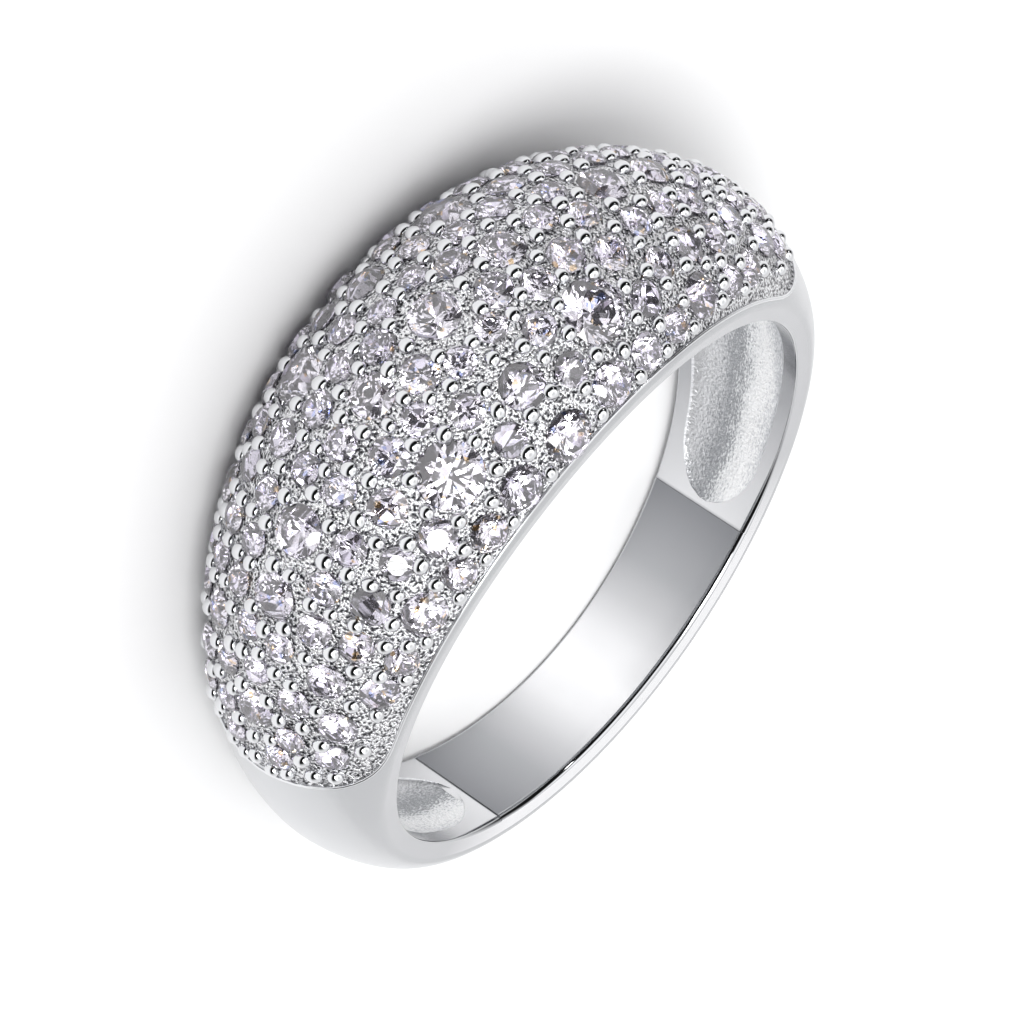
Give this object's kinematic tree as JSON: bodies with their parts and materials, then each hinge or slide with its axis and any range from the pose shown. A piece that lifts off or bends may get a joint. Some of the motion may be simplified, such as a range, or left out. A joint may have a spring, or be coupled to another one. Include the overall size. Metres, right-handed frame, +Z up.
{
  "type": "dome ring",
  "caption": "Domed finger ring, tapering to a slim plain shank, its crown pavé set with round cut stones and metal beads; hollowed inside.",
  "frame": {"origin": "centre of the footprint's box, on the surface that the ring lies on", "axes": "+Z up, the ring lying on its side; -Y towards the crown of the dome; X across the ring, its plane of symmetry at X = 0; the finger hole's axis lies 8.7 degrees off +Z, leaning to +Y"},
  "size_m": [0.0214, 0.0226, 0.0087],
  "materials": {
    "polished_metal": "polished white metal, bright outside, grainy as cast inside the hollow",
    "stone": "colourless cut stone"
  },
  "bodies": {
    "root": {"ring_body": "polished_metal", "small_stones": "stone", "main_stone_01": "stone", "main_stone_02": "stone", "main_stone_03": "stone", "main_stone_04": "stone", "main_stone_05": "stone", "main_stone_06": "stone", "main_stone_07": "stone", "main_stone_08": "stone", "main_stone_09": "stone", "main_stone_10": "stone", "main_stone_11": "stone", "main_stone_12": "stone", "main_stone_13": "stone", "main_stone_14": "stone", "main_stone_15": "stone", "main_stone_16": "stone", "main_stone_17": "stone", "main_stone_18": "stone", "main_stone_19": "stone", "main_stone_20": "stone", "main_stone_21": "stone", "main_stone_22": "stone", "main_stone_23": "stone", "main_stone_24": "stone", "main_stone_25": "stone"}
  },
  "joints": []
}
